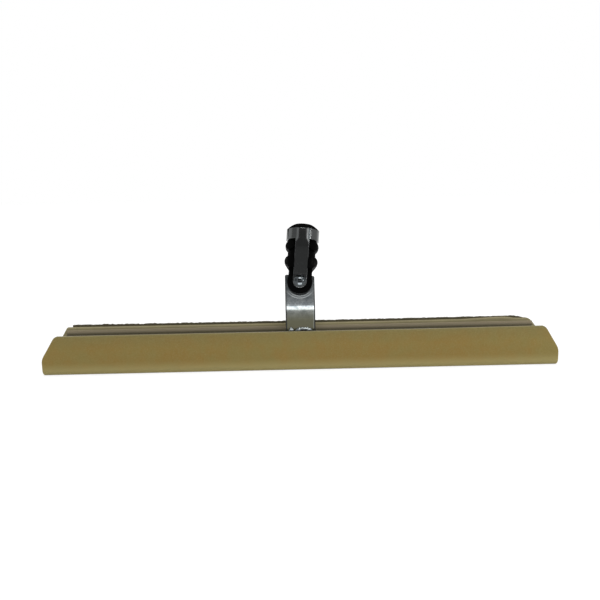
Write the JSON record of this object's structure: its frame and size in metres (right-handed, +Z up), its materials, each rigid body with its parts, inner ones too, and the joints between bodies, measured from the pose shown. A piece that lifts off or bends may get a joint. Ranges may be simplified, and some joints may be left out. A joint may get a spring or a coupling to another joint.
{
  "type": "floor finish applicator",
  "caption": "Long floor finish applicator head: a folded felt pad round a steel channel, with a bent bracket and a swivelling ferruled socket for a handle.",
  "frame": {"origin": "middle of the pad's flat sole", "axes": "+X along the pad, +Y to the back, where the socket leans, +Z up from the floor"},
  "size_m": [0.61, 0.0565, 0.1716],
  "materials": {
    "tan_felt": "matte",
    "cushion_foam": "matte",
    "zinc_steel": "satin",
    "hook_tape": "matte",
    "dark_felt": "matte",
    "weld_steel": "satin",
    "black_moulding": "satin",
    "ferrule_steel": "satin",
    "bright_fastener": "gloss",
    "nylon_ring": "matte"
  },
  "bodies": {
    "head": {"applicator_pad": "tan_felt", "sole_cushion": "cushion_foam", "holder_floor": "zinc_steel", "holder_front_wall": "zinc_steel", "holder_rear_wall": "zinc_steel", "front_hook_tape": "hook_tape", "rear_hook_tape": "hook_tape", "rear_edge_strip": "dark_felt", "handle_bracket": "zinc_steel", "bracket_weld": "weld_steel"},
    "socket": {"socket_body": "black_moulding", "ferrule": "ferrule_steel", "pivot_bolt": "bright_fastener", "pivot_bush": "bright_fastener", "front_wear_washer": "bright_fastener", "rear_wear_washer": "bright_fastener", "nut_washer": "bright_fastener", "pivot_nut": "bright_fastener", "nut_collar_ring": "nylon_ring"}
  },
  "joints": [
    {"name": "socket_swivel", "type": "hinge", "parent": "head", "child": "socket", "pos_m": [0, -0.00615, 0.10273], "axis": [0, -0.9563, 0.2924], "range_deg": [-85, 95]}
  ]
}
